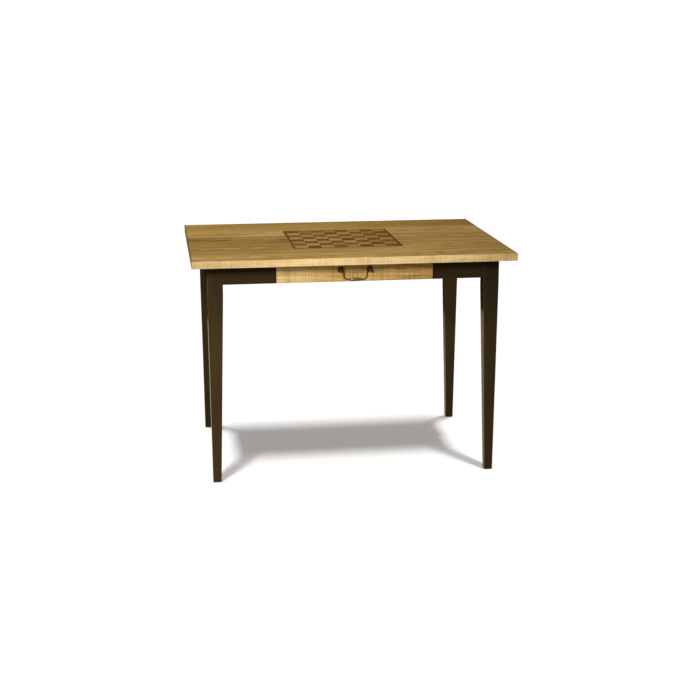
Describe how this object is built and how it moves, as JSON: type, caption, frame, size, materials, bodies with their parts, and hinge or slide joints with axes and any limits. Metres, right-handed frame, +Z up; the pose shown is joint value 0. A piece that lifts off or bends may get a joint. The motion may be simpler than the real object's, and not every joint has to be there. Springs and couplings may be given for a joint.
{
  "type": "chess table",
  "caption": "Rectangular wooden table with a chess board inlaid in the top, square tapered legs and a shallow front drawer with a swinging bail pull.",
  "frame": {"origin": "on the floor, under the centre of the top", "axes": "+X along the length, to the right seen from the drawer side; +Y from the drawer side to the back; +Z up"},
  "size_m": [1.067, 0.762, 0.762],
  "materials": {
    "top_maple": "honey stained maple, low satin varnish",
    "inlay_light": "maple squares, low satin varnish",
    "inlay_dark": "walnut squares, low satin varnish",
    "inlay_border": "walnut border strips, low satin varnish",
    "frame_paint": "very dark brown satin paint on wood",
    "inner_wood": "bare planed softwood",
    "screw_steel": "zinc plated",
    "drawer_front_maple": "honey stained maple with saw marks, low satin varnish",
    "drawer_box_wood": "clear sealed maple",
    "drawer_panel": "clear sealed birch plywood",
    "handle_iron": "dark antique bronze lacquer"
  },
  "bodies": {
    "table": {"top_plank_1": "top_maple", "top_plank_2": "top_maple", "top_plank_3": "top_maple", "top_plank_4": "top_maple", "top_plank_5": "top_maple", "inlay_light_squares": "inlay_light", "inlay_dark_squares": "inlay_dark", "inlay_border_front": "inlay_border", "inlay_border_back": "inlay_border", "inlay_border_left": "inlay_border", "inlay_border_right": "inlay_border", "leg_front_left": "frame_paint", "leg_front_right": "frame_paint", "leg_back_left": "frame_paint", "leg_back_right": "frame_paint", "apron_front_left": "frame_paint", "apron_front_right": "frame_paint", "apron_left": "frame_paint", "apron_right": "frame_paint", "apron_back": "frame_paint", "front_rail": "frame_paint", "drawer_runner_left": "inner_wood", "drawer_runner_right": "inner_wood", "drawer_guide_left": "inner_wood", "drawer_guide_right": "inner_wood", "corner_brace_front_left": "inner_wood", "corner_brace_front_right": "inner_wood", "corner_brace_back_left": "inner_wood", "corner_brace_back_right": "inner_wood", "top_buttons": "inner_wood", "front_rail_screws": "screw_steel", "corner_brace_screws": "screw_steel", "top_button_screws": "screw_steel"},
    "drawer": {"drawer_front": "drawer_front_maple", "drawer_side_left": "drawer_box_wood", "drawer_side_right": "drawer_box_wood", "drawer_back": "drawer_box_wood", "drawer_bottom": "drawer_panel", "drawer_bottom_screws": "screw_steel", "handle_rosette_left": "handle_iron", "handle_rosette_right": "handle_iron", "handle_post_left": "handle_iron", "handle_post_right": "handle_iron", "handle_screws": "screw_steel"},
    "bail": {"handle_bail": "handle_iron"}
  },
  "joints": [
    {"name": "drawer_slide", "type": "slide", "parent": "table", "child": "drawer", "axis": [0, -1, 0], "range_m": [0, 0.35]},
    {"name": "bail_swing", "type": "hinge", "parent": "drawer", "child": "bail", "pos_m": [0, -0.344, 0.714], "axis": [-1, 0, 0], "range_deg": [-10, 115]}
  ]
}
